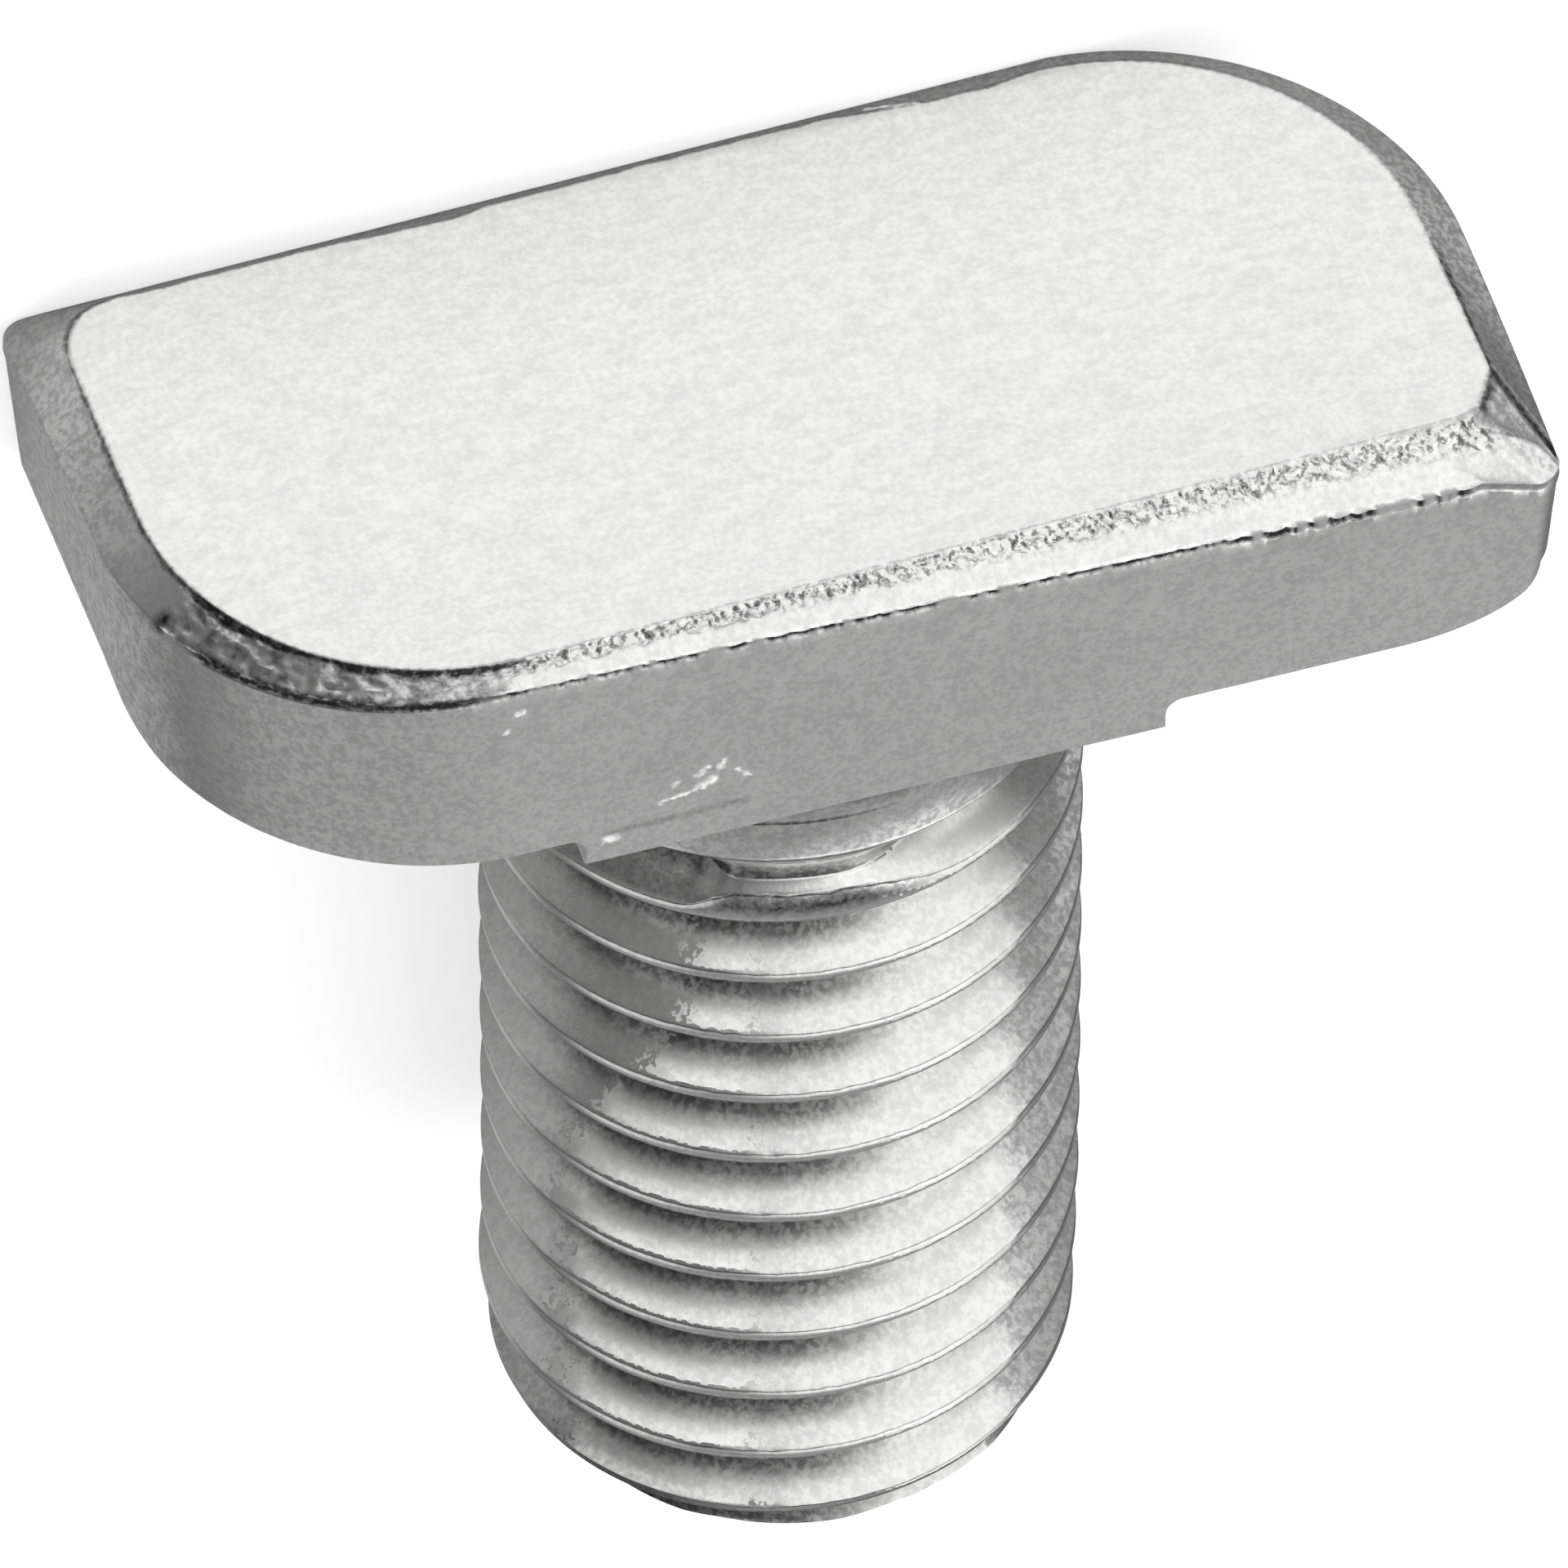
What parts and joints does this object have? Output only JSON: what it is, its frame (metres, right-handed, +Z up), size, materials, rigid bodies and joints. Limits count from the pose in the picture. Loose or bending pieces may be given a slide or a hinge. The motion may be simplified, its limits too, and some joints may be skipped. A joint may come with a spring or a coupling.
{
  "type": "hammer head bolt",
  "caption": "Short steel bolt with an oblong hammer head, two rounded and two square corners, a square neck and a coarse right-hand thread.",
  "frame": {"origin": "centre of the bounding box in plan, on the floor that the bolt lies on", "axes": "+Z up; +X from the head towards the shank's tip, along the shank but for its tilt of 0.9 degrees; +Y along the head towards its blunt end"},
  "size_m": [0.0242, 0.0232, 0.0105],
  "materials": {
    "zinc_plated_steel": "electro zinc-plated, light grey, finely mottled"
  },
  "bodies": {
    "root": {"hammer_head_bolt": "zinc_plated_steel"}
  },
  "joints": []
}
